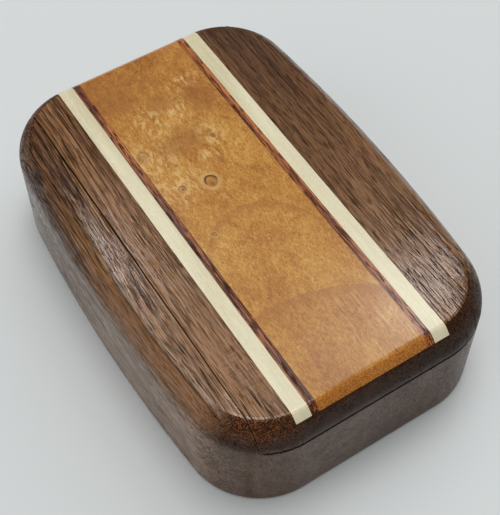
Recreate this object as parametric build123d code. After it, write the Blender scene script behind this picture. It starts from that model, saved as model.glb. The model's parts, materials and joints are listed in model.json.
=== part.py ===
from build123d import *
from math import atan2, cos, degrees, radians, sqrt
import os

# Dice box with a flush lid that swings on two hidden pins.
# Millimetres. The origin is the centre of the underside, +Z is up, +Y runs along the
# grain to the hinge end and +X is to the right.

# Outer form
length = 90.0
width_middle = 63.0
width_ends = 57.0
height = 25.4
corner_radius = 15.0
edge_radius = 7.3
edge_drop = 6.15
foot_easing = 0.75

# Lid and the saw gaps round it
lid_thickness = 6.05
lid_width = 45.2
lid_offset = -0.4
lid_gap = 0.3
side_gap = 0.3

# Base
front_wall = 6.0
floor_thickness = 3.0
cavity_radius = 5.0
back_web = 3.0

# Hinge
hinge_setback = 7.5
heel_inset = 0.95
heel_clearance = 0.3
stop_clearance = 0.1
open_angle = 100.0
pin_radius = 1.2
pin_running_gap = 0.05
pin_in_cheek = 2.6
pin_in_lid = 5.0
pin_end_gap = 0.2

# Inlay, set in a dado along the lid
inlay_thickness = 1.4
cream_width = 3.1
red_width = 1.55
burl_width = 22.6

# Levels and faces that follow from the sizes above
lid_underside = height - lid_thickness
base_top = lid_underside - lid_gap
lid_left = lid_offset - lid_width / 2
lid_right = lid_offset + lid_width / 2
cheek_left = lid_left - side_gap
cheek_right = lid_right + side_gap
front_face = -length / 2
back_face = length / 2

# The hinge axis lies half-way up the lid. The heel behind it is rounded about the
# axis, and the pocket below it is a wider round on the same axis. The heel's lower
# corner meets the pocket's front wall when the lid is fully open.
axis_y = back_face - hinge_setback
axis_z = lid_underside + lid_thickness / 2
heel_radius = hinge_setback - heel_inset
pocket_radius = heel_radius + heel_clearance
heel_drop = axis_z - lid_underside
heel_corner_y = axis_y + sqrt(heel_radius**2 - heel_drop**2)
heel_corner_angle = degrees(atan2(-heel_drop, heel_corner_y - axis_y))
stop_angle = radians(heel_corner_angle - open_angle)
pocket_front = axis_y + heel_radius * cos(stop_angle) - stop_clearance
cavity_front = front_face + front_wall
cavity_back = pocket_front - back_web

oversize = 10.0  # how far a cutting shape stands past what it cuts


def plan_outline():
    """Plan of the box: straight ends, long sides bowed outwards, round corners."""
    half_ends = width_ends / 2
    half_middle = width_middle / 2
    right_side = ThreePointArc((half_ends, front_face), (half_middle, 0), (half_ends, back_face))
    far_end = Line((half_ends, back_face), (-half_ends, back_face))
    left_side = ThreePointArc((-half_ends, back_face), (-half_middle, 0), (-half_ends, front_face))
    near_end = Line((-half_ends, front_face), (half_ends, front_face))
    face = make_face(Curve() + [right_side, far_end, left_side, near_end])
    return fillet(face.vertices(), corner_radius)


def outer_form():
    """The whole box as one solid: a bold round-over, planed flat on top."""
    round_over_top = height - edge_drop + edge_radius
    form = extrude(plan_outline(), amount=round_over_top)
    form = fillet(form.edges().group_by(Axis.Z)[-1], edge_radius)
    form = fillet(form.edges().group_by(Axis.Z)[0], foot_easing)
    planed_off = Pos(0, 0, height) * Box(
        width_middle + oversize,
        length + oversize,
        edge_radius,
        align=(Align.CENTER, Align.CENTER, Align.MIN),
    )
    return form - planed_off


def slab(low, high):
    """A plain block between two corners, for trimming the outer form."""
    size = [high[i] - low[i] for i in range(3)]
    return Pos(*low) * Box(*size, align=(Align.MIN, Align.MIN, Align.MIN))


def across(section, x_from, x_to):
    """A section drawn in the Y-Z plane, run across the box from x_from to x_to."""
    return Pos(x_from, 0, 0) * extrude(Plane.YZ * section, amount=x_to - x_from)


def rectangle(y_from, y_to, z_from, z_to):
    return Pos((y_from + y_to) / 2, (z_from + z_to) / 2) * Rectangle(y_to - y_from, z_to - z_from)


def base_section():
    """Front wall, floor, web, heel pocket and back wall, in one outline."""
    block = rectangle(front_face - oversize, back_face + oversize, -oversize, base_top)
    cavity = rectangle(cavity_front, cavity_back, floor_thickness, height)
    low_corners = cavity.vertices().sort_by(Axis.Y)[:2]
    cavity = fillet(low_corners, cavity_radius)
    pocket_limit = rectangle(pocket_front, back_face + oversize, 0, height)
    pocket = Pos(axis_y, axis_z) * Circle(pocket_radius) & pocket_limit
    return block - cavity - pocket


def lid_section():
    """Flat underside, with the heel rounded about the hinge axis."""
    front_part = rectangle(front_face - oversize, axis_y, lid_underside, height + oversize)
    heel_limit = rectangle(axis_y, back_face + oversize, lid_underside, height + oversize)
    heel = Pos(axis_y, axis_z) * Circle(heel_radius) & heel_limit
    return front_part + heel


def pin_along_x(x_from, x_to, radius):
    """A round bar or hole on the hinge axis."""
    return Pos(x_from, axis_y, axis_z) * extrude(Plane.YZ * Circle(radius), amount=x_to - x_from)


def pin_holes():
    """Blind holes for both pins: tight in the cheeks, free in the lid."""
    cheek_holes = [
        pin_along_x(cheek_left - pin_in_cheek, cheek_left, pin_radius),
        pin_along_x(cheek_right, cheek_right + pin_in_cheek, pin_radius),
    ]
    lid_hole_depth = pin_in_lid + pin_end_gap
    lid_hole_radius = pin_radius + pin_running_gap
    lid_holes = [
        pin_along_x(lid_left, lid_left + lid_hole_depth, lid_hole_radius),
        pin_along_x(lid_right - lid_hole_depth, lid_right, lid_hole_radius),
    ]
    return cheek_holes, lid_holes


def inlay_strips():
    """Name and X limits of each strip, from left to right."""
    widths = [
        ("inlay_cream_left", cream_width),
        ("inlay_red_left", red_width),
        ("inlay_burl", burl_width),
        ("inlay_red_right", red_width),
        ("inlay_cream_right", cream_width),
    ]
    start = lid_offset - sum(width for name, width in widths) / 2
    strips = []
    for name, width in widths:
        strips.append((name, start, start + width))
        start += width
    return strips


def build():
    form = outer_form()
    far = max(length, width_middle)
    cheek_holes, lid_holes = pin_holes()
    strips = inlay_strips()
    inlay_bottom = height - inlay_thickness
    parts = {}

    parts["base_block"] = form & across(base_section(), cheek_left, cheek_right)

    left_side = slab((-far, -far, -oversize), (cheek_left, far, far))
    right_side = slab((cheek_right, -far, -oversize), (far, far, far))
    parts["left_cheek"] = (form & left_side) - cheek_holes[0]
    parts["right_cheek"] = (form & right_side) - cheek_holes[1]

    lid = form & across(lid_section(), lid_left, lid_right)
    dado = slab((strips[0][1], -far, inlay_bottom), (strips[-1][2], far, far))
    parts["lid_panel"] = lid - dado - lid_holes[0] - lid_holes[1]
    for name, x_from, x_to in strips:
        parts[name] = lid & slab((x_from, -far, inlay_bottom), (x_to, far, far))

    parts["hinge_pin_left"] = pin_along_x(cheek_left - pin_in_cheek, lid_left + pin_in_lid, pin_radius)
    parts["hinge_pin_right"] = pin_along_x(lid_right - pin_in_lid, cheek_right + pin_in_cheek, pin_radius)
    return parts


os.makedirs("parts", exist_ok=True)
for node, shape in build().items():
    export_step(shape, f"parts/{node}.step")
    print(node, len(shape.solids()), "solid", round(shape.volume, 1), "mm3")
print("heel radius", round(heel_radius, 2), "stop wall at y", round(pocket_front, 2))
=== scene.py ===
import bpy
import bmesh
import json
import math
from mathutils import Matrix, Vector

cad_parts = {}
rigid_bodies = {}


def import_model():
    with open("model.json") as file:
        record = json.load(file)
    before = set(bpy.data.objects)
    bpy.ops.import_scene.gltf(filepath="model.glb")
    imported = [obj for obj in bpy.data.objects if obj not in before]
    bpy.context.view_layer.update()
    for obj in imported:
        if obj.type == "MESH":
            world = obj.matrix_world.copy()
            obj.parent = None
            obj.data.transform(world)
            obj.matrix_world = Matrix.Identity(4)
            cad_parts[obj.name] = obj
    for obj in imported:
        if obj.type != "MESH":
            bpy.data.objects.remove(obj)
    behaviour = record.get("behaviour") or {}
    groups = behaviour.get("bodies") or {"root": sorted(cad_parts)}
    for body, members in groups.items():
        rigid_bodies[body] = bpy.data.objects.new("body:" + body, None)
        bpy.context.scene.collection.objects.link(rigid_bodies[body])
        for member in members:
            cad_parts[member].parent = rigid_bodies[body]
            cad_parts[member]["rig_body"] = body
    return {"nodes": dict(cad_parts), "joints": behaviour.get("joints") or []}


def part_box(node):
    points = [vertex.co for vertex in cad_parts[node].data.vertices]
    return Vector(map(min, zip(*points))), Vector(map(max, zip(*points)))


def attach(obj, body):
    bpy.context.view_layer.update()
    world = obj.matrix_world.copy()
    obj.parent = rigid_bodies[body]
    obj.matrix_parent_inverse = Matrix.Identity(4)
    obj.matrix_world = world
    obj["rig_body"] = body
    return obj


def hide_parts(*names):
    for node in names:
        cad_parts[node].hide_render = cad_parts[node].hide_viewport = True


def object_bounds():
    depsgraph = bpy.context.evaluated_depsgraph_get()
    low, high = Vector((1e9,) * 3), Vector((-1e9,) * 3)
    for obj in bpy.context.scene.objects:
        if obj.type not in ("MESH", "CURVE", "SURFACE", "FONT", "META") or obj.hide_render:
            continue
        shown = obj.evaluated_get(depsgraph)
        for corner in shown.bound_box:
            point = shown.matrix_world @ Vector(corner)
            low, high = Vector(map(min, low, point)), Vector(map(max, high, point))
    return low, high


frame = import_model()
cadLow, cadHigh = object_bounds()
mm = 0.001  # every size below is in metres, written as millimetres times this
sameLevel = 0.01 * mm  # heights and stations closer than this count as one
print("frame loaded:", len(frame["nodes"]), "nodes")

# the outer form, which every wooden piece is cut from
form = {
    "halfLength": cadHigh.y,
    "halfWidth": cadHigh.x,
    "height": cadHigh.z,
    "sideBow": 3.0 * mm,  # the long sides bulge this much over the whole length
    "cornerRadius": 15.0 * mm,
    "edgeRadius": 7.3 * mm,  # bold round-over
    "edgeDrop": 6.15 * mm,  # how far down the round-over reaches
    "creaseRadius": 0.5 * mm,  # sanding softens the crease round the flat top
    "footEasing": 0.75 * mm,
    "sawEdge": 0.16 * mm,  # the edges along the parting are just broken
    "sideEdge": 0.07 * mm,  # and those along the two long saw gaps even less
}


def outlineNumbers():
    bow, length = form["sideBow"], form["halfLength"]
    sideRadius = (length**2 + bow**2) / (2 * bow)
    sideCentre = form["halfWidth"] - sideRadius
    cornerY = length - form["cornerRadius"]
    reach = math.sqrt((sideRadius - form["cornerRadius"]) ** 2 - cornerY**2)
    cornerX = sideCentre + reach
    return sideRadius, sideCentre, cornerX, cornerY, math.atan2(cornerY, reach)


sideRadius, sideCentre, cornerX, cornerY, tangentAngle = outlineNumbers()


def endY(x, inset):  # half length of the outline at x, when it is inset
    over = abs(x) - cornerX
    if over <= 0:
        return form["halfLength"] - inset
    return cornerY + math.sqrt((form["cornerRadius"] - inset) ** 2 - over**2)


def bezier(p0, p1, p2, steps=4):
    points = []
    for i in range(steps + 1):
        t = i / steps
        points.append(tuple(
            (1 - t) ** 2 * a + 2 * t * (1 - t) * b + t**2 * c for a, b, c in zip(p0, p1, p2)
        ))
    return points


def easing(radius, steps=4):
    # a rounded edge: how far each loop stands from the face, and its inset; the outermost is last
    for i in range(steps + 1):
        t = math.pi / 2 * i / steps
        yield radius * (1 - math.sin(t)), radius * (1 - math.cos(t))


def edgeProfile(footSteps=6, wallSteps=8, roundSteps=30, creaseSteps=5):
    # (inset, height) pairs from the underside up the wall to the edge of the flat top
    foot, radius = form["footEasing"], form["edgeRadius"]
    top = form["height"]
    wallTop = top - form["edgeDrop"]
    points = list(easing(foot, footSteps))
    for i in range(1, wallSteps + 1):
        points.append((0.0, foot + (wallTop - foot) * i / wallSteps))
    lastAngle = math.asin(form["edgeDrop"] / radius)
    soft = form["creaseRadius"] / radius
    for i in range(1, roundSteps + 1):
        t = (lastAngle - soft) * i / roundSteps
        points.append((radius * (1 - math.cos(t)), wallTop + radius * math.sin(t)))
    creaseInset = radius * (1 - math.cos(lastAngle))
    # a short curve over the crease
    flat = (creaseInset + form["creaseRadius"], top)
    return points + bezier(points[-1], (creaseInset, top), flat, creaseSteps)[1:]


profile = edgeProfile()


def insetAt(z):
    for (inset0, z0), (inset1, z1) in zip(profile, profile[1:]):
        if z <= z1:
            return inset0 + (inset1 - inset0) * (z - z0) / max(z1 - z0, 1e-9)
    return profile[-1][0]


def insetLoop(loop, amounts):
    # moves each (y, z) point of a closed anticlockwise loop inwards by its own amount
    moved = []
    count = len(loop)
    for i, (y, z) in enumerate(loop):
        before, after = loop[i - 1], loop[(i + 1) % count]
        dy, dz = after[0] - before[0], after[1] - before[1]
        size = math.hypot(dy, dz) or 1.0
        moved.append((y - dz / size * amounts[i], z + dy / size * amounts[i]))
    return moved


def ringFaces(builder, ringA, ringB, closed=True):
    count = len(ringA)
    for i in range(count if closed else count - 1):
        j = (i + 1) % count
        corners = [ringA[i], ringA[j], ringB[j], ringB[i]]
        corners = [v for k, v in enumerate(corners) if v is not corners[k - 1]]
        if len(corners) > 2:
            builder.faces.new(corners)


def plainMesh(builder, name):
    bmesh.ops.remove_doubles(builder, verts=builder.verts, dist=1e-7)
    bmesh.ops.dissolve_degenerate(builder, dist=1e-8, edges=builder.edges)
    bmesh.ops.recalc_face_normals(builder, faces=builder.faces)
    mesh = bpy.data.meshes.new(name)
    builder.to_mesh(mesh)
    builder.free()
    return mesh


# edges sharper than so many degrees stay sharp, and a face shows the end of the wood where it
# is steep and looks along the grain
faces = {"sharpFrom": 27, "steep": 0.3, "endFrom": 0.16, "endOver": 0.40, "flatWeight": 80}


def placed(name, data):
    thing = bpy.data.objects.new(name, data)
    bpy.context.scene.collection.objects.link(thing)
    return thing


def finishPiece(mesh, node, slot):
    mesh.shade_smooth()
    mesh.set_sharp_from_angle(angle=math.radians(faces["sharpFrom"]))
    endGrain = mesh.attributes.new("endGrain", "FLOAT", "POINT")
    for vertex, value in zip(mesh.vertices, endGrain.data):
        slope = math.hypot(vertex.normal.x, vertex.normal.y)
        turned = abs(vertex.normal.y) / slope if slope > faces["steep"] else 0.0
        value.value = min(1.0, max(0.0, (turned - faces["endFrom"]) / faces["endOver"]))
    mesh.materials.clear()
    mesh.materials.append(woods[slot])
    piece = placed(mesh.name, mesh)
    weighted = piece.modifiers.new("flatFaces", "WEIGHTED_NORMAL")
    weighted.keep_sharp = True
    weighted.weight = faces["flatWeight"]
    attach(piece, frame["nodes"][node]["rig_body"])
    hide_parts(node)
    return piece


class Socket:
    # one value in a node tree; arithmetic on it adds Math nodes

    def __init__(self, tree, link):
        self.tree, self.link = tree, link

    def math(self, operation, *others):
        return self.tree.math(operation, self, *others)

    def __add__(self, other):
        return self.math("ADD", other)

    def __sub__(self, other):
        return self.math("SUBTRACT", other)

    def __rsub__(self, other):
        return self.tree.math("SUBTRACT", other, self)

    def __mul__(self, other):
        return self.math("MULTIPLY", other)

    def __truediv__(self, other):
        return self.math("DIVIDE", other)

    __radd__ = __add__
    __rmul__ = __mul__

    def ramp(self, low, high, toLow=0.0, toHigh=1.0, kind="SMOOTHSTEP"):
        return self.tree.add("ShaderNodeMapRange", {"interpolation_type": kind}, {
            "Value": self, "From Min": low, "From Max": high, "To Min": toLow, "To Max": toHigh})[0]

    def band(self, centre, outer, inner):
        # whole as near to the centre as inner, and gone at outer
        return (self - centre).math("ABSOLUTE").ramp(outer, inner)


class Tree:
    # a node tree and the one method that adds a node to it

    def __init__(self, nodeTree):
        self.nodes = nodeTree.nodes
        self.links = nodeTree.links
        self.nodes.clear()
        self.spot = 0

    def add(self, kind, settings, values):
        node = self.nodes.new(kind)
        node.location = (220 * (self.spot % 12), -200 * (self.spot // 12))
        self.spot += 1
        for key, value in settings.items():
            if key == "stops":
                elements = node.color_ramp.elements
                while len(elements) < len(value):
                    elements.new(0.5)
                for element, (place, colour) in zip(elements, value):
                    element.position = place
                    element.color = (*colour, 1.0)
            else:
                setattr(node, key, value)
        for key, value in values.items():
            target = node.inputs[key]
            if isinstance(value, Socket):
                self.links.new(value.link, target)
            elif target.type == "RGBA":
                target.default_value = (*value, 1.0)
            else:
                target.default_value = value
        return [Socket(self, out) for out in node.outputs]

    def math(self, operation, *values):
        return self.add("ShaderNodeMath", {"operation": operation}, dict(enumerate(values)))[0]

    def greatest(self, masks):
        best = masks[0]
        for mask in masks[1:]:
            best = best.math("MAXIMUM", mask)
        return best

    def blend(self, factor, first, second):
        return self.add("ShaderNodeMix", {"data_type": "RGBA"}, {0: factor, 6: first, 7: second})[2]


lacquerCoat = {"woodRoughness": 0.6, "specular": 0.05, "index": 1.5}


class Finish(Tree):
    # a material and the nodes that make it, after the dictionary that describes its look

    def __init__(self, name, look):
        self.material = bpy.data.materials.new(name)
        self.material.use_nodes = True
        super().__init__(self.material.node_tree)
        self.look = look

    def place(self, shift=(0, 0, 0)):  # object coordinates in millimetres
        where = self.add("ShaderNodeTexCoord", {}, {})[3]
        return self.add("ShaderNodeMapping", {}, {
            "Vector": where, "Location": shift, "Scale": [1 / mm] * 3})[0]

    def split(self, vector):  # its x, y and z, which the masks use too
        values = self.add("ShaderNodeSeparateXYZ", {}, {0: vector})
        self.axes = dict(zip("xyz", values))
        return values

    def stretch(self, vector, scale):
        return self.add("ShaderNodeVectorMath", {"operation": "MULTIPLY"}, {0: vector, 1: scale})[0]

    def noise(self, name, vector):
        # value and colour of one of the look's noises, drawn out where its scale is small
        scale, detail, rough = self.look["noises"][name][:3]
        return self.add("ShaderNodeTexNoise", {}, {
            "Vector": self.stretch(vector, scale), "Scale": 1.0, "Detail": detail, "Roughness": rough})

    def pattern(self, name, vector):
        # the noise's value, cut between two limits where the look gives them
        limits = self.look["noises"][name][3:]
        value = self.noise(name, vector)[0]
        return value.ramp(*limits) if limits else value

    def mixed(self, **patterns):
        # the patterns' sum about their middle, each with its share
        return sum((pattern - 0.5) * self.look["shares"][name] for name, pattern in patterns.items())

    def within(self, limits):
        # a mask from ramps along the axes
        ramps = [self.axes[axis].ramp(*ends) for axis, *ends in limits]
        return math.prod(ramps[1:], start=ramps[0])

    def mask(self, name):
        return self.within(self.look["masks"][name])

    def drifted(self, tone):
        tone = tone + self.look["tone"]
        for amount, *limits in self.look["drifts"]:
            tone = tone + self.within(limits) * amount
        return tone

    def tinted(self, tone):
        return self.add("ShaderNodeValToRGB", {"stops": self.look["colours"]}, {"Fac": tone})[0]

    def layers(self, colour, coats):
        # lays the look's colours over a first one, each by its own factor
        for factor, name in coats:
            colour = self.blend(factor, colour, self.look[name])
        return colour

    def attribute(self, name):  # a value that is kept on the mesh
        return self.add("ShaderNodeAttribute", {"attribute_name": name}, {})[2]

    def moved(self, vector, by, amount):
        # pushes a vector about by a colour noise
        centred = self.add("ShaderNodeVectorMath", {"operation": "SUBTRACT"}, {0: by, 1: (0.5, 0.5, 0.5)})[0]
        return self.add("ShaderNodeVectorMath", {"operation": "MULTIPLY_ADD"}, {
            0: centred, 1: amount, 2: vector})[0]

    def distance(self, vector, centre, scale):
        # how far a point is from a centre, with each axis scaled
        offset = self.add("ShaderNodeVectorMath", {"operation": "SUBTRACT"}, {0: vector, 1: centre})[0]
        return self.add("ShaderNodeVectorMath", {"operation": "LENGTH"}, {0: self.stretch(offset, scale)})[1]

    def lacquered(self, colour, height, cover):
        # oiled wood under a satin lacquer, which doesn't bridge the open pores
        return self.finish(colour, lacquerCoat["woodRoughness"], height, fixed={
            "Specular IOR Level": lacquerCoat["specular"], "Coat Weight": cover,
            "Coat Roughness": self.look["lacquer"], "Coat IOR": lacquerCoat["index"]})

    def finish(self, colour, rough, height=None, fixed=None):
        values = {"Base Color": colour, "Roughness": rough}
        if height is not None:
            bump = self.add("ShaderNodeBump", {}, {"Height": height, "Distance": self.look["relief"]})
            values["Normal"] = bump[0]
        values.update(fixed or {})
        shader = self.add("ShaderNodeBsdfPrincipled", {}, values)[0]
        self.add("ShaderNodeOutputMaterial", {}, {"Surface": shader})
        return self.material


# mm: the near crease, where the lacquer is rubbed thin, and the band's outer and inner reach
rubbedCrease = (-41.6, 0.7, 0.3)

# The woods' noises give the scale across, along and up, the detail, the roughness and, where
# they are cut, the two limits. Masks are products of ramps: an axis, the mm where it starts and
# where it is whole, and its values there if not 0 and 1. Drifts change the tone over the box:
# by how much, and the ramps of a mask.
walnutWood = {
    # tone and colour, from the dark late wood to the pale early wood
    "colours": [
        (0.18, (0.026, 0.010, 0.004)), (0.38, (0.088, 0.034, 0.011)),
        (0.56, (0.178, 0.078, 0.026)), (0.82, (0.320, 0.158, 0.068))],
    "dusk": (0.078, 0.033, 0.016),
    "pore": (0.016, 0.006, 0.003),
    # painted sheen: stands in for the lacquer's reflections, in streaks, on the crease and on the low side
    # walls
    "pale": (0.50, 0.46, 0.41),
    # painted warm light on the left round-over
    "warm": (0.250, 0.105, 0.036),
    "endDark": (0.011, 0.005, 0.003),
    "endPlain": (0.170, 0.108, 0.072),
    "endShade": (0.105, 0.058, 0.046),
    "endFleck": (0.27, 0.082, 0.018),
    "noises": {
        "sway": ((0.035, 0.014, 0.035), 2, 0.5),
        "shiver": ((0.30, 0.10, 0.30), 2, 0.5),
        "figure": ((0.26, 0.014, 0.22), 3, 0.5),
        "bands": ((1.05, 0.014, 1.05), 2, 0.5),
        "lines": ((3.2, 0.035, 3.2), 1, 0.5),
        "fibre": ((4.6, 0.40, 4.6), 2, 0.6),
        "crowd": ((0.42, 0.05, 0.42), 2, 0.5),
        "longPores": ((5.2, 0.22, 5.2), 1, 0.5),
        "shortPores": ((5.2, 0.28, 5.2), 1, 0.5),
        "dusk": ((0.17, 0.025, 0.17), 3, 0.5, 0.50, 0.66),
        "ripple": ((0.30, 2.0, 0.30), 2, 0.5),
        "fleck": ((5.0, 3.0, 5.0), 2, 0.7, 0.50, 0.60),
        "shade": ((0.55, 0.3, 0.22), 3, 0.5, 0.40, 0.62),
        "dots": ((4.5, 0.5, 4.5), 1, 0.5, 0.52, 0.64),
        "ragged": ((1.6, 1.6, 1.6), 2, 0.5),
    },
    "shares": {"figure": 0.5, "bands": 0.4, "lines": 0.95, "fibre": 0.45},
    "tone": 0.71,
    "swayBy": (5.0, 0.0, 5.0),  # mm, how far the grain wanders
    "shiverBy": (0.4, 0.0, 0.4),  # and how far it shivers
    "pith": (60.0, 0.0, -90.0),  # where the tree's middle would be, in mm
    "ringWidth": 0.8,
    "veinsPerBand": 36.0,
    "poreLimits": (0.565, 0.625),
    "slitLimits": (0.54, 0.66),
    "veinLimits": (0.45, 0.95),
    # fibre cuts for the painted sheen streaks, the painted crease highlight and the dull lacquer
    "paleFibre": (0.42, 0.60),
    "rubbedFibre": (0.40, 0.52),
    "dullFibre": (0.53, 0.43),
    "masks": {
        "rightHalf": [("x", -6, 6)],
        "leftCheek": [("x", -22.5, -27.0)],
        "leftOfInlay": [("x", -15.5, -17.5)],
        "ringsFade": [("y", -25, 10, 0.5, 1.0)],
        "calm": [("x", -6, 6), ("y", -24, -16)],
        "dusk": [("x", -20, 4, 0.22, 0.38)],
        # where the painted sheen streaks lie
        "paleStreaks": [("x", -15.5, -17.5), ("y", 2, -10), ("z", 20, 24)],
        "nearLeft": [("y", 8, -6), ("y", -40, -35)],
        "roundOver": [("z", 20.0, 22.5)],
        "darkLine": [("y", -6, -22)],
        # painted reflection of the floor on the low side walls: where it lies, and how strong far and near
        "lowWall": [("z", 21, 17)],
        "farWall": [("y", 16, 30), ("z", 13, 3)],
        "paleWall": [("y", -34, -8, 0.12, 0.22)],
        "endCorner": [("x", -13, -21, 0.30, 1.0), ("z", 19.5, 24.5, 0.06, 1.0)],
        "endPlain": [("z", 21.5, 17.5)],
        "endCover": [("z", 17.5, 21.5, 0.25, 0.5)],
        "glossy": [("x", -6, 6), ("y", -14, -22)],
        "streaks": [("y", -12, 0, 0.45, 0.75)],
        "dullFar": [("y", -12, 0)],
    },
    "drifts": [
        (-0.12, ("x", -16, 18)),
        (-0.11, ("y", -8, 32)),
        (0.07, ("y", -2, -34)),
        # left cheek: darker at the far end, paler at the near one
        (-0.12, ("x", -22.5, -27.0)),
        (0.20, ("x", -22.5, -27.0), ("y", 28, -12)),
        # its near round-over, and the flat top above that
        (-0.06, ("x", -26, -28), ("y", -4, -16)),
        (0.11, ("x", -26, -28), ("y", -4, -16), ("z", 23.6, 24.6)),
        # the lid left of the inlay
        (0.05, ("x", -16, -17), ("x", -27.0, -22.5)),
        # right cheek
        (0.05, ("x", 21, 24), ("y", 20, -4)),
        (-0.04, ("x", 21, 24), ("y", 10, 24)),
    ],
    # short waves across the grain, near the left cream strip
    "ripple": {
        "centre": (-19.2, -31.0, 25.0), "scale": (0.28, 0.11, 0.2), "limits": (1.2, 0.4), "depth": 0.7},
    # mm: the bowed side's centre, the crease's distance from it, and the zone of painted warm light
    # and the two lines that are measured from there: a painted highlight and a dark line
    "leftEdge": {"centreX": 307.5, "crease": 335.6, "warm": (0.3, 1.0), "rubbed": (0.42, 0.10),
                 "dark": 0.62, "darkWidth": (0.22, 0.05)},
    # mm: painted shade along the saw's parting gap round the closed lid
    "seam": {"level": 19.15, "left": -23.0, "right": 22.2, "outer": 43.4, "width": (0.26, -0.02),
             "ragged": 0.6},
    "relief": 0.10 * mm,
    "lacquer": 0.13,
}


def walnutEnd(wood, where, grain, rings):
    # flecked on the round-over, plain with growth rings below it
    upper = wood.layers(walnutWood["endDark"], [
        (wood.pattern("fleck", grain) * wood.mask("endCorner"), "endFleck")])
    lower = wood.layers(walnutWood["endPlain"], [
        (wood.pattern("shade", where) * 0.6, "endShade"),
        (rings.ramp(-0.6, 0.9) * 0.30, "endShade"),
        (wood.pattern("dots", grain) * 0.45, "endDark"),
    ])
    return wood.blend(wood.mask("endPlain"), upper, lower)


def walnutPartingShade(wood, where, across, along, height):
    # painted shade along the saw's parting gap round the closed lid: a dark, slightly ragged line
    seam = walnutWood["seam"]
    ragged = wood.pattern("ragged", where) * seam["ragged"]
    outside, inside = seam["width"]
    line = height.band(seam["level"], ragged + outside, ragged + inside)
    line = line * across.ramp(seam["left"] - 0.4, seam["left"])
    line = line * across.ramp(seam["right"] + 0.4, seam["right"])
    return line * along.math("ABSOLUTE").ramp(seam["outer"] - 0.5, seam["outer"])


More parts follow.
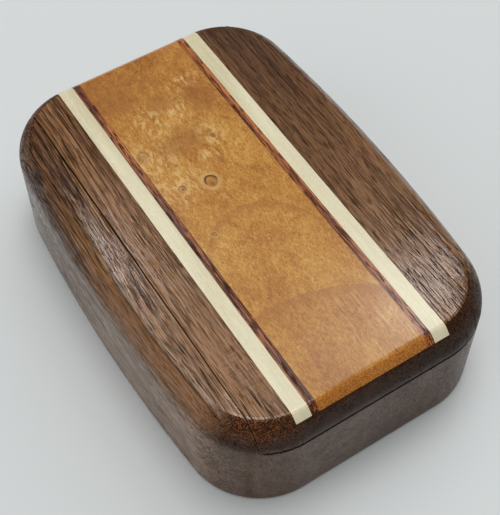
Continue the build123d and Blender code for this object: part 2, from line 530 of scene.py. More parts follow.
def walnut():
    wood = Finish("walnut", walnutWood)
    where = wood.place()
    across, along, height = wood.split(where)
    grain = wood.moved(where, wood.noise("sway", where)[1], walnutWood["swayBy"])
    grain = wood.moved(grain, wood.noise("shiver", where)[1], walnutWood["shiverBy"])
    fromPith = wood.distance(grain, walnutWood["pith"], (1, 0, 1))
    rings = (fromPith * (2 * math.pi / walnutWood["ringWidth"])).math("SINE")
    figure = wood.pattern("figure", grain)
    bands = wood.pattern("bands", grain)
    lines = wood.pattern("lines", grain)
    fibre = wood.pattern("fibre", grain)
    crowd = wood.pattern("crowd", grain)
    longPores = wood.pattern("longPores", grain)
    shortPores = wood.pattern("shortPores", grain)
    ends = wood.attribute("endGrain")
    rightHalf = wood.mask("rightHalf")
    leftCheek = wood.mask("leftCheek")
    leftOfInlay = wood.mask("leftOfInlay")

    # pores, a little shorter and more evenly spread on the right
    pores = longPores + (shortPores - longPores) * rightHalf + (crowd - 0.5) * (0.26 - rightHalf * 0.12)
    pores = pores.ramp(*walnutWood["poreLimits"])
    slits = lines.ramp(*walnutWood["slitLimits"]) * (0.6 + rightHalf * 0.4)
    # dark lines that follow the bands, thin and long
    veins = (bands * walnutWood["veinsPerBand"]).math("SINE").ramp(*walnutWood["veinLimits"])
    veins = veins * crowd.ramp(0.36, 0.58, 0.5, 1.0) * (1.0 - rightHalf * 0.6)

    # tone; the rings show most on the left of the lid
    calm = 1.0 - wood.mask("calm") * 0.35
    lateWood = rings.ramp(0.2, 0.95) * wood.mask("ringsFade")
    ringed = leftOfInlay - leftCheek * 0.6
    tone = wood.mixed(figure=figure, bands=bands, lines=lines, fibre=fibre)
    tone = (tone - lateWood * (ringed * 0.15 + 0.12) + ringed * 0.05) * calm
    ripple = walnutWood["ripple"]
    curly = wood.distance(where, ripple["centre"], ripple["scale"]).ramp(*ripple["limits"])
    tone = wood.drifted(tone) + (wood.pattern("ripple", where) - 0.5) * curly * ripple["depth"]

    # left edge: painted warm light on the round-over, a painted highlight line on the crease, a dark line
    # below it
    edge = walnutWood["leftEdge"]
    bowed = wood.distance(where, (edge["centreX"], 0, 0), (1, 1, 0))
    nearLeft = wood.mask("nearLeft")
    # painted warm light: the round-over below the crease made brighter and warmer
    warm = bowed.ramp(*[edge["crease"] + more for more in edge["warm"]]) * wood.mask("roundOver")
    # painted highlight: a pale line along the crease
    rubbed = bowed.band(edge["crease"], *edge["rubbed"]) * fibre.ramp(*walnutWood["rubbedFibre"])
    dark = bowed.band(edge["crease"] + edge["dark"], *edge["darkWidth"]) * wood.mask("darkLine")

    # painted sheen: pale streaks on the near half of the top, left of the inlay
    paleStreaks = wood.mask("paleStreaks") * fibre.ramp(*walnutWood["paleFibre"])
    # painted reflection of the floor: the lower part of each long side wall made paler
    wall = across.math("ABSOLUTE").ramp(24, 28) * wood.mask("lowWall") * (1.0 - ends)
    colour = wood.layers(wood.tinted(tone), [
        (wood.pattern("dusk", where) * wood.mask("dusk"), "dusk"),
        (slits * 0.60, "pore"),
        (veins * 0.70, "pore"),
        (pores * calm * (0.55 + rightHalf * 0.30), "pore"),
        (paleStreaks * (0.06 + leftCheek * 0.07), "pale"),
        (warm * nearLeft * 0.50, "warm"),
        (rubbed * nearLeft * 0.34, "pale"),
        (dark * nearLeft * 0.6, "pore"),
        (wall * (wood.mask("farWall") * 0.16 + wood.mask("paleWall")), "pale"),
    ])
    colour = wood.blend(ends * 0.92, colour, walnutEnd(wood, where, grain, rings))
    # painted shade along the parting gap, on the end faces, in the pores' colour
    seam = walnutPartingShade(wood, where, across, along, height) * ends
    colour = wood.layers(colour, [(seam * 0.95, "pore")])

    glossy = wood.mask("glossy")  # where the right side shines
    relief = (lines - 0.5) * 0.55 + (fibre - 0.5) * 0.26 - pores * 0.6 - slits * 0.4 - veins * 0.35
    relief = relief * (1.0 + glossy * 1.2 + leftCheek * 1.3)
    # the lacquer shines in streaks, most of all on the left
    dull = fibre.ramp(*walnutWood["dullFibre"])
    cover = (1.0 - pores * 0.9) * (1.0 - slits * 0.7) * (1.0 - veins * 0.6)
    cover = cover * (1.0 - ends * wood.mask("endCover")) * (1.0 - seam * 0.9)
    cover = cover * (1.0 - leftOfInlay * dull * wood.mask("streaks"))
    cover = cover * (1.0 - (leftOfInlay - leftCheek) * wood.mask("dullFar") * 0.25)
    cover = cover * (1.0 - glossy * dull * 0.6) * (1.0 - along.band(*rubbedCrease) * 0.5)
    return wood.lacquered(colour, relief, cover)


stripNames = ["inlay_cream_left", "inlay_red_left", "inlay_burl", "inlay_red_right", "inlay_cream_right"]
stripBoxes = {name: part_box(name) for name in stripNames}

creamWood = {
    "colours": [(0.30, (0.60, 0.53, 0.34)), (0.50, (0.71, 0.64, 0.43)), (0.70, (0.78, 0.72, 0.51))],
    "noises": {
        "fibre": ((6.0, 0.12, 6.0), 3, 0.5),
        "cloud": ((0.5, 0.05, 0.5), 2, 0.5),
        "fleck": ((4.0, 1.4, 4.0), 2, 0.5),
    },
    "shares": {"fibre": 0.45, "cloud": 0.5, "fleck": 0.35},
    "tone": 0.53,
    "drifts": [(-0.17, ("y", 10, 34))],
    "relief": 0.02 * mm,
    "lacquer": 0.18,
}


def cream():
    wood = Finish("maple", creamWood)
    where = wood.place()
    wood.split(where)
    fibre = wood.pattern("fibre", where)
    tone = wood.mixed(fibre=fibre, cloud=wood.pattern("cloud", where), fleck=wood.pattern("fleck", where))
    return wood.lacquered(wood.tinted(wood.drifted(tone)), fibre, 1.0)


redStrip = {
    "colours": [(0.28, (0.085, 0.019, 0.006)), (0.44, (0.230, 0.060, 0.014)), (0.62, (0.46, 0.155, 0.040))],
    "pore": (0.022, 0.006, 0.003),
    "noises": {
        "bands": ((1.5, 0.04, 1.5), 2, 0.5),
        "fibre": ((6.5, 0.30, 6.5), 2, 0.5),
        "pores": ((3.8, 0.36, 3.8), 1, 0.5, 0.53, 0.61),
    },
    "shares": {"bands": 1.3, "fibre": 1.1},
    "tone": 0.5,
    "drifts": [(-0.16, ("x", 0, -1))],  # the left strip is the darker one
    "shift": (37, 11, 5),  # mm, picks the stretch of grain
    "glueLine": 0.16,  # mm
    "relief": 0.05 * mm,
    "lacquer": 0.16,
}


def redBrown():
    wood = Finish("redWood", redStrip)
    across = wood.split(wood.place())[0]
    where = wood.place(redStrip["shift"])
    fibre = wood.pattern("fibre", where)
    pores = wood.pattern("pores", where)
    tone = wood.mixed(bands=wood.pattern("bands", where), fibre=fibre)
    edges = [corner.x / mm for name in stripNames if "red" in name for corner in stripBoxes[name]]
    glue = wood.greatest([across.band(edge, redStrip["glueLine"], 0.0) for edge in edges])
    dark = pores.math("MAXIMUM", glue * 0.75) * 0.8
    colour = wood.layers(wood.tinted(wood.drifted(tone)), [(dark, "pore")])
    return wood.lacquered(colour, (fibre - 0.5) * 0.4 - pores * 0.8, 1.0 - pores * 0.8)


burlPanel = {
    "colours": [
        (0.22, (0.24, 0.072, 0.008)), (0.44, (0.40, 0.160, 0.022)),
        (0.58, (0.51, 0.240, 0.040)), (0.80, (0.66, 0.400, 0.110))],
    "flame": (0.66, 0.42, 0.150),
    "rust": (0.255, 0.080, 0.014),
    "endBand": (0.520, 0.200, 0.034),
    "endDark": (0.270, 0.068, 0.010),
    "ringDark": (0.33, 0.120, 0.022),
    "hole": (0.045, 0.015, 0.005),
    "noises": {
        "sway": ((0.13, 0.09, 0.13), 3, 0.5),
        "ripple": ((0.9, 0.5, 0.9), 3, 0.5),
        "cloud": ((0.12, 0.06, 0.12), 3, 0.5),
        "mottle": ((0.95, 0.45, 0.95), 4, 0.62),
        "fibre": ((4.4, 1.1, 4.4), 3, 0.65),
        "specks": ((5.5, 3.6, 5.5), 1, 0.5),
        "flames": ((1.15, 0.5, 1.15), 3, 0.6, 0.47, 0.60),
        "streaks": ((2.6, 0.16, 2.6), 2, 0.5, 0.52, 0.66),
        "nicks": ((3.2, 1.7, 3.2), 0, 0.5, 0.70, 0.78),
        "grains": ((3.6, 3.6, 3.6), 2, 0.5, 0.40, 0.60),
    },
    "shares": {"cloud": 0.50, "mottle": 0.54, "fibre": 0.60, "specks": 0.40},
    "tone": 0.52,
    "drifts": [(-0.10, ("y", 20, 44)), (-0.05, ("y", -20, -40))],
    "masks": {
        "near": [("y", 6, -12)],
        # where painted sheen streaks lie on the burl
        "streaks": [("y", -22, -30), ("x", -3, 2)],
    },
    "swayBy": (6.0, 6.0, 3.0),  # mm, how far the clouds wander
    "looseBy": (1.3, 1.6, 0.0),
    "calmBy": (0.5, 0.5, 0.0),
    # soft regions: centre x, y and half widths, in mm
    "flameAreas": [
        (-8.5, 17.0, 4.5, 4.5), (-4.2, 25.5, 3.0, 4.5), (3.6, 16.0, 2.6, 4.5), (1.5, 25.0, 3.5, 2.5),
        (6.0, 31.5, 3.5, 2.0), (-8.0, 9.0, 4.5, 5.0), (1.0, 12.5, 2.0, 1.5)],
    "rustAreas": [
        (-8.0, 34.0, 4.0, 3.6), (-1.0, 29.0, 2.8, 2.4), (-2.0, 18.0, 5.0, 3.0), (7.0, 26.0, 3.0, 4.0),
        (-10.2, 18.5, 0.9, 0.9), (2.1, 10.5, 0.5, 1.0)],
    # knots: centre x, y, radius, and how dark the ring is
    "knots": [
        (-2.15, 6.9, 1.15, 0.90), (-7.7, 7.9, 0.75, 0.72), (-8.1, -4.1, 0.42, 0.65), (4.0, 16.2, 0.50, 0.7),
        (-10.2, 18.5, 1.2, 0.35), (-5.3, 22.7, 0.55, 0.4), (2.7, 27.6, 0.8, 0.35)],
    "pips": [
        (-7.6, 7.9, 0.34), (3.95, 16.2, 0.32), (-5.9, 13.5, 0.30), (-3.7, 26.0, 0.34),
        (-4.3, 29.8, 0.26), (-2.2, 6.2, 0.42), (-3.0, 13.0, 0.22), (-5.4, 32.6, 0.30)],
    # arches of growth rings: centre x, y, half widths, and how dark
    "arches": [(-9.0, -42.0, 26.9, 19.6, 0.55), (-1.6, -14.5, 12.0, 13.6, 0.50)],
    "relief": 0.035 * mm,
    "lacquer": 0.14,
}


def burl():
    wood = Finish("burl", burlPanel)
    where = wood.place()
    along = wood.split(where)[1]
    sway = wood.noise("sway", where)[1]
    ripple = wood.noise("ripple", where)[1]
    curl = wood.moved(where, sway, burlPanel["swayBy"])
    loose = wood.moved(where, ripple, burlPanel["looseBy"])  # for edges that wander a little
    calm = wood.moved(where, ripple, burlPanel["calmBy"])

    def oval(vector, x, y, halfX, halfY):  # 1 on the oval's edge
        return wood.distance(vector, (x, y, 0), (1 / halfX, 1 / halfY, 0))

    def areas(listed, softness):
        return wood.greatest([oval(loose, *area).ramp(1.0 + softness, 1.0 - softness) for area in listed])

    mottle = wood.pattern("mottle", curl)
    fibre = wood.pattern("fibre", where)
    specks = wood.pattern("specks", loose)
    tone = wood.mixed(cloud=wood.pattern("cloud", curl), mottle=mottle, fibre=fibre, specks=specks)
    tone = tone - (mottle - 0.5) * wood.mask("near") * 0.12
    colour = wood.layers(wood.tinted(wood.drifted(tone)), [
        (wood.pattern("flames", curl) * areas(burlPanel["flameAreas"], 0.6) * 0.82, "flame"),
        # painted sheen: pale streaks along the fine straight grain at the near right; and short dark pores
        (wood.pattern("streaks", where) * wood.mask("streaks") * 0.40, "flame"),
        (wood.pattern("nicks", loose) * 0.55, "rust"),
        (areas(burlPanel["rustAreas"], 0.55) * 0.45, "rust"),
    ])
    for x, y, halfX, halfY, depth in burlPanel["arches"]:
        arch = oval(loose, x, y, halfX, halfY)
        arch = arch.ramp(1.004, 0.985) * arch.ramp(0.80, 0.99) * along.ramp(y, y + halfY * 0.5)
        colour = wood.layers(colour, [(arch * depth, "ringDark")])
    rings = []
    for x, y, radius, depth in burlPanel["knots"]:
        knot = oval(calm, x, y, radius, radius / 0.85)
        upper = along.ramp(y - radius * 0.7, y + radius * 0.5, 0.25, 1.0)
        rings.append(knot.ramp(1.28, 1.02) * knot.ramp(0.72, 0.98) * upper * depth)
        colour = wood.layers(colour, [
            (knot.ramp(2.1, 1.3) * knot.ramp(0.9, 1.2) * depth * 0.5, "flame"),
            (knot.ramp(1.2, 0.6) * depth * 0.35, "rust"),
            (rings[-1], "hole"),
        ])
    for x, y, radius in burlPanel["pips"]:
        pip = oval(calm, x, y, radius, radius / 0.7).ramp(1.4, 0.5)
        colour = wood.layers(colour, [(pip * 0.75, "rust")])
    ends = wood.attribute("endGrain")
    grains = wood.pattern("grains", where)
    endColour = wood.blend(grains, burlPanel["endDark"], burlPanel["endBand"])
    colour = wood.blend(ends * 0.75, colour, endColour)
    holes = wood.greatest(rings)
    relief = (fibre - 0.5) * 0.5 + (mottle - 0.5) * 0.3 - holes
    cover = (1.0 - holes * 0.6) * (1.0 - along.band(*rubbedCrease) * 0.7)
    return wood.lacquered(colour, relief, cover)


pinMetal = {
    "colour": (0.60, 0.43, 0.20),
    "roughness": (0.18, 0.38),
    "noises": {"drawn": ((0.3, 9.0, 9.0), 3, 0.5)},  # marks along the pin
    "relief": 0.01 * mm,
}


def brassRod():
    metal = Finish("brass", pinMetal)
    drawn = metal.pattern("drawn", metal.place())
    smooth, rough = pinMetal["roughness"]
    rough = drawn * (rough - smooth) + smooth
    return metal.finish(pinMetal["colour"], rough, drawn, fixed={"Metallic": 1.0})


# the record's slots and the wood that each one gets
woods = {"walnut": walnut(), "maple": cream(), "redwood": redBrown(), "burl": burl()}
brass = brassRod()
print("materials made")

hinge = frame["joints"][0]
axisY, axisZ = hinge["pos_m"][1], hinge["pos_m"][2]
lidLow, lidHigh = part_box("lid_panel")
lidShape = {
    "heelRadius": lidHigh.y - axisY,
    "inlayFloor": stripBoxes["inlay_burl"][0].z,
    "stationsPerCorner": 28,
    "stationsAcross": 10,
    # how far the lid's long sides stand out towards the cheeks; on the left the fit
    # opens up towards the hinge
    "growLeft": 0.13 * mm,
    "growRight": 0.255 * mm,
    "opensFrom": -20.0 * mm,
    "opensTo": 22.0 * mm,
}


def lidStations(x0, x1):
    # x values where the lid is sliced: closer together where the plan is curved
    places = set()
    for k in range(lidShape["stationsAcross"] + 1):
        places.add(-cornerX + 2 * cornerX * k / lidShape["stationsAcross"])
    for k in range(1, lidShape["stationsPerCorner"] + 1):
        over = (abs(lidLow.x) + 1.0 * mm - cornerX) * k / lidShape["stationsPerCorner"]
        places.update((cornerX + over, -cornerX - over))
    inside = [x for x in places if x0 + sameLevel < x < x1 - sameLevel]
    return [x0] + sorted(inside) + [x1]


def outerY(x, z):
    return endY(x, insetAt(z))


def rearY(x, z):
    lift = z - axisZ
    reach = lidShape["heelRadius"] ** 2 - lift**2
    heel = axisY + math.sqrt(max(reach, 0.0))
    return min(outerY(x, z), heel)


def lidHeights():
    floor = lidShape["inlayFloor"]
    low = lidLow.z + form["sawEdge"]
    levels = [z for inset, z in profile if low + sameLevel < z < floor - sameLevel]
    upper = [z for inset, z in profile if floor + sameLevel < z]
    return [low] + levels + [floor], [floor] + upper


lowerHeights, upperHeights = lidHeights()


def lowerChain(x):
    # from the inlay floor at the near end, down, along the underside and up the heel
    under, ease = lidLow.z, form["sawEdge"]
    chain = [(-outerY(x, z), z) for z in reversed(lowerHeights)]
    corner = (-outerY(x, under), under)
    chain += bezier(chain[-1], corner, (corner[0] + ease, under))[1:]
    rear = [(rearY(x, z), z) for z in lowerHeights]
    corner = (rearY(x, under), under)
    chain += bezier((corner[0] - ease, under), corner, rear[0])[:-1]
    return chain + rear


def upperChain(x):
    # from the inlay floor at the far end, up over the top and down at the near end
    rear = [(rearY(x, z), z) for z in upperHeights]
    near = [(-outerY(x, z), z) for z in reversed(upperHeights)]
    return rear + near


def ring(builder, x, loop):
    return [builder.verts.new((x, y, z)) for y, z in loop]


def sideFit(way, y):
    if way < 0:
        return lidShape["growRight"]
    t = (y - lidShape["opensFrom"]) / (lidShape["opensTo"] - lidShape["opensFrom"])
    t = min(1.0, max(0.0, t))
    return lidShape["growLeft"] * (1 - t * t * (3 - 2 * t))


def makeLid():
    builder = bmesh.new()
    ease = form["sideEdge"]
    inlayLeft = stripBoxes[stripNames[0]][0].x
    inlayRight = stripBoxes[stripNames[-1]][1].x

    def fullLoop(x):
        return lowerChain(x) + upperChain(x)[1:-1]

    lowCount = len(lowerChain(0.0))
    sides = ((lidLow.x, inlayLeft, 1), (lidHigh.x, inlayRight, -1))
    edgeRings = []
    for outerX, innerX, way in sides:
        rings = []
        for distance, depth in reversed(list(easing(ease))):
            x = outerX + way * distance
            loop = insetLoop(fullLoop(x), [depth] * len(fullLoop(x)))
            rings.append(ring(builder, x, loop))
            for vertex in rings[-1]:
                vertex.co.x -= way * sideFit(way, vertex.co.y)
        low, high = sorted((outerX + way * ease, innerX))
        for x in lidStations(low, high)[1:-1][::way] + [innerX]:
            rings.append(ring(builder, x, fullLoop(x)))
        for ringA, ringB in zip(rings, rings[1:]):
            ringFaces(builder, ringA, ringB)
        builder.faces.new(rings[0])
        last = rings[-1]
        builder.faces.new([last[lowCount - 1]] + last[lowCount:] + [last[0]])  # side of the dado
        edgeRings.append(last[:lowCount])
    middle = [edgeRings[0]]
    for x in lidStations(inlayLeft, inlayRight)[1:-1]:
        middle.append(ring(builder, x, lowerChain(x)))
    middle.append(edgeRings[1])
    for ringA, ringB in zip(middle, middle[1:]):
        ringFaces(builder, ringA, ringB)
    return finishPiece(plainMesh(builder, "lidPanel"), "lid_panel", "walnut")


# One tree makes each strip: a grid box whose ends follow the outer form. Its sizes are
# named inputs, in metres.
stripShape = {
    "across": 13,  # vertices
    "arcLevels": 20,
    "creaseLevels": 5,
    "sizes": {
        "Left": 0.0,
        "Right": 0.0,
        "Floor": lidShape["inlayFloor"],
        "Top": form["height"],
        "Half Length": form["halfLength"],
        "Corner Radius": form["cornerRadius"],
        "Corner Start": cornerX,
        "Edge Radius": form["edgeRadius"],
        "Edge Drop": form["edgeDrop"],
        "Crease Radius": form["creaseRadius"],
    },
}


def makeStripTree():
    group = bpy.data.node_groups.new("inlayStrip", "GeometryNodeTree")
    for label in stripShape["sizes"]:
        group.interface.new_socket(name=label, in_out="INPUT", socket_type="NodeSocketFloat")
    group.interface.new_socket(name="Wood", in_out="INPUT", socket_type="NodeSocketMaterial")
    group.interface.new_socket(name="Strip", in_out="OUTPUT", socket_type="NodeSocketGeometry")
    tree = Tree(group)
    given = tree.add("NodeGroupInput", {}, {})
    left, right, floor, top, halfLength, cornerRadius, cornerStart = given[:7]
    edgeRadius, edgeDrop, crease, wood = given[7:11]
    levels = stripShape["arcLevels"] + stripShape["creaseLevels"]
    box = tree.add("GeometryNodeMeshCube", {}, {
        "Size": (1, 1, 1), "Vertices X": stripShape["across"], "Vertices Y": 2, "Vertices Z": levels + 1})[0]
    x, y, z = tree.add("ShaderNodeSeparateXYZ", {}, {0: tree.add("GeometryNodeInputPosition", {}, {})[0]})
    level = (z + 0.5) * levels
    rise = level.ramp(0, stripShape["arcLevels"], kind="LINEAR")
    bend = level.ramp(stripShape["arcLevels"], levels, kind="LINEAR")
    # up the round-over
    wallTop = top - edgeDrop
    lowAngle = ((floor - wallTop) / edgeRadius).math("ARCSINE")
    fullAngle = (edgeDrop / edgeRadius).math("ARCSINE")
    angle = lowAngle + (fullAngle - crease / edgeRadius - lowAngle) * rise
    inset = edgeRadius - angle.math("COSINE") * edgeRadius
    height = wallTop + angle.math("SINE") * edgeRadius
    # and over the crease on to the flat top
    stay = (1.0 - bend) * (1.0 - bend)
    creaseInset = edgeRadius - fullAngle.math("COSINE") * edgeRadius
    inset = inset * stay + creaseInset * bend * (1.0 - bend) * 2.0 + (creaseInset + crease) * bend * bend
    height = height * stay + top * (1.0 - stay)
    # the plan's round corners
    across = left + (right - left) * (x + 0.5)
    over = (across.math("ABSOLUTE") - cornerStart).math("MAXIMUM", 0.0)
    radius = cornerRadius - inset
    reach = halfLength - cornerRadius + (radius * radius - over * over).math("SQRT")
    place = tree.add("ShaderNodeCombineXYZ", {}, {0: across, 1: reach * y.math("SIGN"), 2: height})[0]
    shaped = tree.add("GeometryNodeSetPosition", {}, {"Geometry": box, "Position": place})[0]
    whole = tree.add("GeometryNodeRealizeInstances", {}, {"Geometry": shaped})[0]
    coated = tree.add("GeometryNodeSetMaterial", {}, {"Geometry": whole, "Material": wood})[0]
    tree.add("NodeGroupOutput", {}, {"Strip": coated})
    return group


stripTree = makeStripTree()


def makeStrip(node, slot):
    words = node.split("_")
    name = words[0] + "".join(word.capitalize() for word in words[1:])
    holder = placed("holder", bpy.data.meshes.new("holder"))
    grown = holder.modifiers.new("strip", "NODES")
    grown.node_group = stripTree
    low, high = stripBoxes[node]
    values = {**stripShape["sizes"], "Left": low.x, "Right": high.x, "Wood": woods[slot]}
    for item in stripTree.interface.items_tree:
        if item.name in values:
            grown[item.identifier] = values[item.name]
    graph = bpy.context.evaluated_depsgraph_get()
    mesh = bpy.data.meshes.new_from_object(holder.evaluated_get(graph), depsgraph=graph)
    mesh.name = name
    holder.modifiers.clear()
    bpy.data.objects.remove(holder)
    return finishPiece(mesh, node, slot)


makeLid()
for stripName, stripSlot in zip(stripNames, ("maple", "redwood", "burl", "redwood", "maple")):
    makeStrip(stripName, stripSlot)
print("lid and inlay made")

baseLow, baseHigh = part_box("base_block")
baseShape = {
    "frontWall": 6.0 * mm,
    "floor": 3.0 * mm,
    "wellRadius": 5.0 * mm,
    "backWeb": 3.0 * mm,
    "pocketClearance": 0.3 * mm,
    "stopClearance": 0.1 * mm,
    "innerEase": 0.4 * mm,
    "bendLevel": 14.0 * mm,  # the back wall's levels are squeezed above this height
    "pocketSteps": 24,
    "wellSteps": 12,
}
pocketRadius = lidShape["heelRadius"] + baseShape["pocketClearance"]


def stopWallY():
    # the pocket's front wall stands where the heel's lower corner arrives when fully open
    radius = lidShape["heelRadius"]
    drop = axisZ - lidLow.z
    angle = math.atan2(-drop, math.sqrt(radius**2 - drop**2)) - math.radians(hinge["range_deg"][1])
    return axisY + radius * math.cos(angle) - baseShape["stopClearance"]


def pocketY(z):
    lift = z - axisZ
    return axisY + math.sqrt(pocketRadius**2 - lift**2)


def wallTopAt(x):
    # in the round corners the pocket comes out through the back wall, which is lower there
    low, high = baseShape["bendLevel"], baseHigh.z
    if outerY(x, high) > pocketY(high):
        return high
    for _ in range(40):  # halves the range each time
        middle = (low + high) / 2
        if outerY(x, middle) > pocketY(middle):
            low = middle
        else:
            high = middle
    return low


def insideProfile(lipTop):
    # from the far lip forward: pocket, web, well and front wall, at the height of the parting
    top, ease = baseHigh.z, baseShape["innerEase"]
    pocket = pocketRadius
    stopY = stopWallY()
    wellBack = stopY - baseShape["backWeb"]
    wellFront = -form["halfLength"] + baseShape["frontWall"]
    floor, radius = baseShape["floor"], baseShape["wellRadius"]
    lip = math.atan2(lipTop - axisZ, pocketY(lipTop) - axisY)
    foot = math.atan2(-math.sqrt(pocket**2 - (stopY - axisY) ** 2), stopY - axisY)
    points = []
    steps = baseShape["pocketSteps"]
    for i in range(steps + 1):
        t = lip + (foot - lip) * i / steps
        points.append((axisY + pocket * math.cos(t), axisZ + pocket * math.sin(t)))
    points += bezier((stopY, top - ease), (stopY, top), (stopY - ease, top))
    points += bezier((wellBack + ease, top), (wellBack, top), (wellBack, top - ease))
    quarter = list(easing(radius, baseShape["wellSteps"]))
    points += [(wellBack - inset, floor + rise) for rise, inset in quarter]
    points += [(wellFront + rise, floor + inset) for rise, inset in quarter]
    points += bezier((wellFront, top - ease), (wellFront, top), (wellFront - ease, top))
    return points


def makeBase():
    builder = bmesh.new()
    top, ease = baseHigh.z, form["sawEdge"]
    heights = [z for inset, z in profile if z < top - ease - sameLevel] + [top - ease]
    bend = baseShape["bendLevel"]

    def loopAt(x):
        outer = [(-outerY(x, z), z) for z in reversed(heights)]
        loop = bezier((-outerY(x, top) + ease, top), (-outerY(x, top), top), outer[0])[:-1]
        loop += outer
        lipTop = wallTopAt(x)
        lipEase = min(ease, max(0.0, outerY(x, lipTop) - pocketY(lipTop)) * 0.4)
        squeeze = (lipTop - lipEase - bend) / (top - ease - bend)
        for z in heights:
            level = z if z < bend else bend + (z - bend) * squeeze
            loop.append((outerY(x, level), level))
        edge = outerY(x, lipTop)
        loop += bezier(loop[-1], (edge, lipTop), (edge - lipEase, lipTop))[1:]
        return loop + insideProfile(lipTop)

    rings = [ring(builder, x, loopAt(x)) for x in lidStations(baseLow.x, baseHigh.x)]
    for ringA, ringB in zip(rings, rings[1:]):
        ringFaces(builder, ringA, ringB)
    builder.faces.new(rings[0])
    builder.faces.new(rings[-1])
    return finishPiece(plainMesh(builder, "baseBlock"), "base_block", "walnut")


makeBase()
print("base made")

cheekShape = {"cornerSteps": 36, "sideSteps": 48, "glueBlend": 0.5 * mm}


def cheekCurve(faceX, inset):
    # (x, y) points of the inset outline outside faceX, from the near end to the far end
    radius = form["cornerRadius"] - inset
    clip = math.acos((faceX - cornerX) / radius)
    corner, side = cheekShape["cornerSteps"], cheekShape["sideSteps"]
    points = []
    for k in range(corner):
        t = clip + (tangentAngle - clip) * k / corner
        points.append((cornerX + radius * math.cos(t), -cornerY - radius * math.sin(t)))
    for k in range(side + 1):
        t = -tangentAngle + 2 * tangentAngle * k / side
        points.append((sideCentre + (sideRadius - inset) * math.cos(t), (sideRadius - inset) * math.sin(t)))
    return points + [(x, -y) for x, y in reversed(points[:corner])]


def makeCheek(node, name, way):
    builder = bmesh.new()
    low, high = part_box(node)
    faceX = min(abs(low.x), abs(high.x))  # the flat face beside the lid
    ease = form["sideEdge"]
    clipX = faceX + ease
    curves = [cheekCurve(clipX, inset) for inset, z in profile]
    rows = [
        [builder.verts.new((way * x, y, z)) for x, y in curve] for curve, (inset, z) in zip(curves, profile)]
    for rowA, rowB in zip(rows, rows[1:]):
        ringFaces(builder, rowA, rowB, closed=False)
    inner = []
    for row in (rows[0], rows[-1]):  # underside and flat top, across to the inner face
        z = row[0].co.z
        line = [row[0]] + [builder.verts.new((way * clipX, v.co.y, z)) for v in row[1:-1]] + [row[-1]]
        ringFaces(builder, row, line, closed=False)
        inner.append(line)
    boundary = inner[0] + [row[-1] for row in rows[1:-1]] + inner[1][::-1] + [row[0] for row in rows[-2:0:-1]]

    def loopAt(x):
        bottomY = [v.co.y for v in inner[0]]
        topY = [v.co.y for v in inner[1]]
        loop = [(y, profile[0][1]) for y in bottomY]
        loop += [(endY(x, inset), z) for inset, z in profile[1:-1]]
        loop += [(y, profile[-1][1]) for y in reversed(topY)]
        loop += [(-endY(x, inset), z) for inset, z in reversed(profile[1:-1])]
        return loop

    rings = [boundary]
    for distance, depth in list(easing(ease))[1:]:
        x = faceX + distance
        loop = loopAt(x)
        glued = [max(0.0, min(1.0, (z - baseHigh.z) / cheekShape["glueBlend"])) for y, z in loop]
        rings.append(ring(builder, way * x, insetLoop(loop, [depth * share for share in glued])))
    for ringA, ringB in zip(rings, rings[1:]):
        ringFaces(builder, ringA, ringB)
    builder.faces.new(rings[-1])
    return finishPiece(plainMesh(builder, name), node, "walnut")


makeCheek("left_cheek", "leftCheek", -1)
makeCheek("right_cheek", "rightCheek", 1)
print("cheeks made")

# the pins are the CAD's own pieces, in brass
for node in ("hinge_pin_left", "hinge_pin_right"):
    pin = frame["nodes"][node]
    for place in pin.material_slots:
        place.material = brass

studio = {
    "floorColour": (0.665, 0.690, 0.685),
    "floorRoughness": 0.75,
    "floorReach": 6.0,
    "floorDrop": 0.03 * mm,  # keeps the floor from flickering with the underside
    "overhead": (0.80, 0.81, 0.82),
    "around": (0.33, 0.33, 0.335),
    "cameraSide": (0.16, 0.16, 0.165),
    "backdrop": (0.66, 0.68, 0.68),
    # sines: where the dome turns bright overhead, where it fades from the camera's side, and
    # where reflections start to show the backdrop
    "brightFrom": (0.79, 0.825),
    "sideFrom": (-0.75, 0.0),
    "horizon": (0.12, 0.02),
    "fillOnly": ("softBack", "softSide"),  # reflections don't show these
    # soft lamps: azimuth from +Y towards +X, elevation and apparent width in degrees, strength
    "lamps": [
        ("softTop", 33.0, 82.0, 30.0, 0.93),
        ("softBack", 60.0, 36.0, 60.0, 0.72),
        ("softSide", -92.0, 26.0, 64.0, 0.52),
        ("softLeft", 19.3, 55.4, 4.4, 0.046),
        ("softRight", 48.8, 56.4, 4.5, 0.047),
        ("softNear", 42.5, 60.0, 6.0, 0.015),
    ],
}


def makeFloor():
    builder = bmesh.new()
    reach = studio["floorReach"]
    corners = [(-reach, -reach), (reach, -reach), (reach, reach), (-reach, reach)]
    builder.faces.new([builder.verts.new((x, y, cadLow.z - studio["floorDrop"])) for x, y in corners])
    mesh = bpy.data.meshes.new("tableTop")
    builder.to_mesh(mesh)
    builder.free()
    table = placed("tableTop", mesh)
    surface = Finish("paleTable", studio)
    mesh.materials.append(surface.finish(
        studio["floorColour"], studio["floorRoughness"], fixed={"Specular IOR Level": 0.2}))


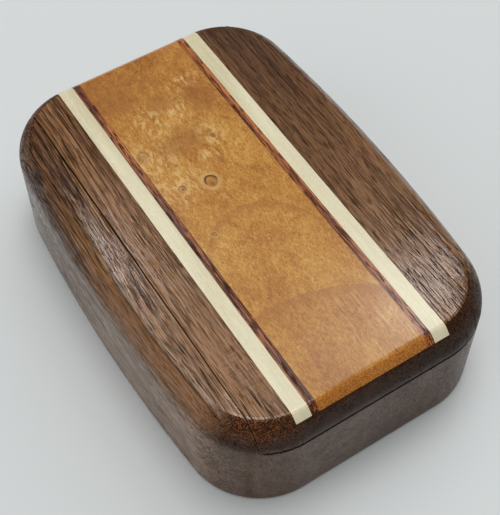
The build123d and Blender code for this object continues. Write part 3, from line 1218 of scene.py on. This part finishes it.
def makeSky():
    world = bpy.data.worlds.new("studio")
    bpy.context.scene.world = world
    world.use_nodes = True
    sky = Tree(world.node_tree)
    direction = sky.add("ShaderNodeTexCoord", {}, {})[0]
    north, up = sky.add("ShaderNodeSeparateXYZ", {}, {0: direction})[1:]
    level = sky.blend(north.ramp(*studio["sideFrom"]), studio["cameraSide"], studio["around"])
    dome = sky.blend(up.ramp(*studio["brightFrom"]), level, studio["overhead"])
    # the camera sees the plain backdrop, and so do reflections along the horizon
    path = sky.add("ShaderNodeLightPath", {}, {})
    cameraRay, glossyRay, transmissionRay = path[0], path[3], path[6]
    mirrored = (glossyRay + transmissionRay).math("MINIMUM", 1.0) * up.ramp(*studio["horizon"])
    colour = sky.blend(cameraRay.math("MAXIMUM", mirrored), dome, studio["backdrop"])
    light = sky.add("ShaderNodeBackground", {}, {"Color": colour, "Strength": 1.0})[0]
    sky.add("ShaderNodeOutputWorld", {}, {"Surface": light})


def makeLamps():
    for name, turn, lift, width, strength in studio["lamps"]:
        azimuth, elevation = math.radians(turn), math.radians(lift)
        lamp = bpy.data.lights.new(name, "SUN")
        lamp.energy, lamp.angle = strength, math.radians(width)
        holder = placed(name, lamp)
        level = math.cos(elevation)
        towards = Vector((math.sin(azimuth) * level, math.cos(azimuth) * level, math.sin(elevation)))
        holder.location = towards
        holder.rotation_euler = (-towards).to_track_quat("-Z", "Y").to_euler()
        holder.visible_glossy = name not in studio["fillOnly"]


makeFloor()
makeSky()
makeLamps()

cameraShape = {
    "azimuth": -32.541,
    "elevation": 55.789,
    "distance": 223.6 * mm,
    "aim": (-0.734 * mm, -4.503 * mm, 12.7 * mm),
    "focalShare": 1158.39 / 515,  # focal length over the long side of the view
}


def makeCamera():
    a, e = math.radians(cameraShape["azimuth"]), math.radians(cameraShape["elevation"])
    back = Vector((math.sin(a) * math.cos(e), -math.cos(a) * math.cos(e), math.sin(e)))
    data = bpy.data.cameras.new("camera")
    data.lens = cameraShape["focalShare"] * data.sensor_width
    data.clip_start, data.clip_end = 0.01, 20
    camera = placed("camera", data)
    camera.location = Vector(cameraShape["aim"]) + back * cameraShape["distance"]
    camera.rotation_euler = (-back).to_track_quat("-Z", "Y").to_euler()
    bpy.context.scene.camera = camera


makeCamera()
bpy.context.scene.view_settings.view_transform = "Standard"
print("stage set")
